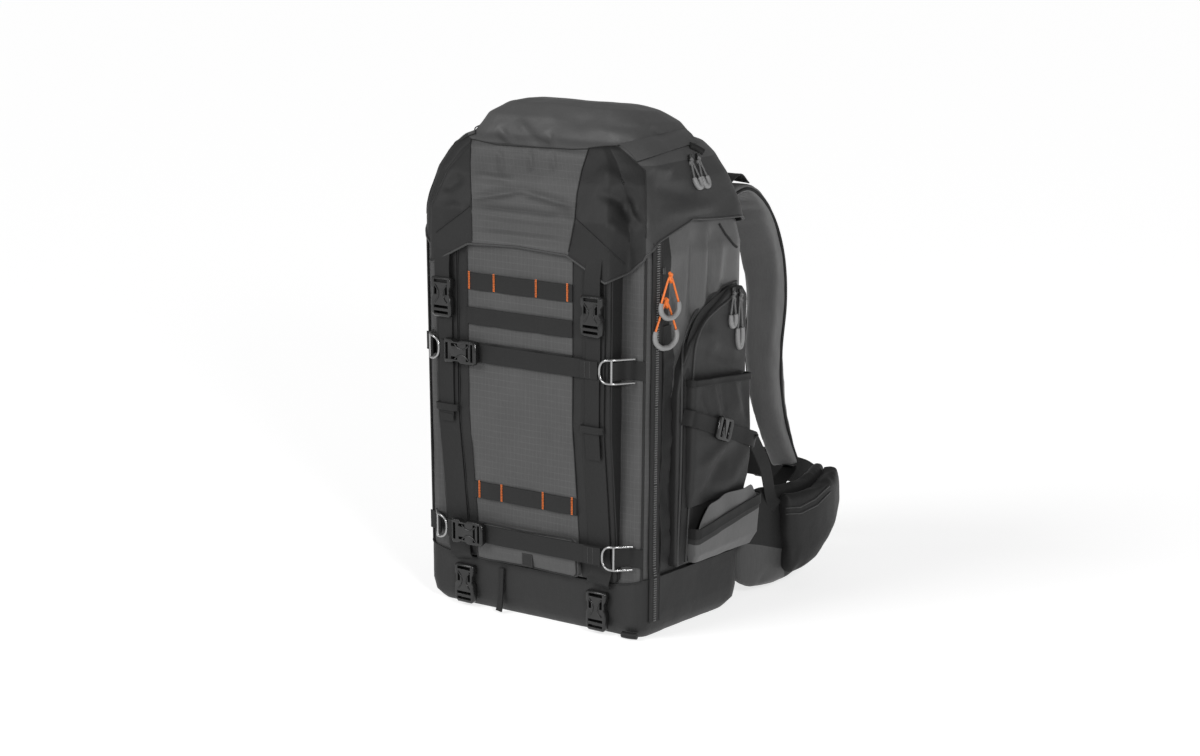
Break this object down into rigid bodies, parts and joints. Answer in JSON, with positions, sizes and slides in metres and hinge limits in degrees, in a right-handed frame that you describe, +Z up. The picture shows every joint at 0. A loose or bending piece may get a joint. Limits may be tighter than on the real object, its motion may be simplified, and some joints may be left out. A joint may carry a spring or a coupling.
{
  "type": "camera backpack",
  "caption": "Trekking camera backpack with padded harness, domed lid with side buckles, front pocket with lash straps, side pockets and a winged hip belt.",
  "frame": {"origin": "on the floor, under the middle of the pack body", "axes": "+Z up, -Y the front that faces away from the wearer, +Y the harness side, +X the zip-pull side"},
  "size_m": [0.4204, 0.5567, 0.6645],
  "materials": {
    "ripstop_grey": "matte ripstop nylon with a fine vertical weave",
    "coated_grey": "satin coated nylon",
    "nylon_black": "matte pack cloth",
    "nylon_grey": "matte pack cloth",
    "stretch_black": "fine stretch knit",
    "harness_grey": "padded cloth over foam",
    "webbing_black": "woven webbing",
    "zip_tape": "coated zip tape with moulded teeth",
    "buckle_plastic": "moulded nylon, fine texture",
    "hook_steel": "plated wire",
    "pull_grey": "soft moulded grip on a cord",
    "cord_orange": "round braided cord"
  },
  "bodies": {
    "root": {"pack_body": "ripstop_grey", "base_boot": "nylon_black", "front_pocket": "ripstop_grey", "daisy_strip_1": "webbing_black", "daisy_strip_2": "webbing_black", "daisy_strip_3": "webbing_black", "daisy_strip_4": "webbing_black", "front_strap_right": "webbing_black", "front_strap_left": "webbing_black", "tripod_pocket": "nylon_black", "pull_tab": "webbing_black", "lash_strap_mid": "webbing_black", "lash_strap_low": "webbing_black", "buckle_mid": "buckle_plastic", "buckle_low": "buckle_plastic", "hook_mid_right": "hook_steel", "hook_mid_left": "hook_steel", "hook_low_right": "hook_steel", "hook_low_left": "hook_steel", "buckle_lid_right": "buckle_plastic", "buckle_lid_left": "buckle_plastic", "buckle_base_right": "buckle_plastic", "buckle_base_left": "buckle_plastic", "lid": "coated_grey", "lid_zip_hood": "coated_grey", "lid_pull_1": "pull_grey", "lid_pull_2": "pull_grey", "main_zip_right": "zip_tape", "main_zip_left": "zip_tape", "main_pull_1": "cord_orange", "main_pull_2": "cord_orange", "side_pocket_right": "nylon_black", "side_pocket_left": "nylon_black", "side_pull_1": "pull_grey", "side_pull_2": "pull_grey", "stretch_pocket_right": "stretch_black", "stretch_pocket_left": "stretch_black", "foot_pocket_right": "nylon_grey", "foot_pocket_left": "nylon_grey", "side_strap_right": "webbing_black", "side_strap_left": "webbing_black", "side_buckle_right": "buckle_plastic", "side_buckle_left": "buckle_plastic", "back_panel": "harness_grey", "lumbar_pad": "harness_grey", "shoulder_strap_right": "harness_grey", "shoulder_strap_left": "harness_grey", "load_lifter_right": "webbing_black", "load_lifter_left": "webbing_black", "strap_webbing_right": "webbing_black", "strap_webbing_left": "webbing_black", "belt_wing_right": "harness_grey", "belt_wing_left": "harness_grey", "belt_pocket_right": "nylon_black", "belt_pocket_left": "nylon_black", "belt_webbing": "webbing_black", "belt_buckle": "buckle_plastic", "haul_handle": "webbing_black"}
  },
  "joints": []
}
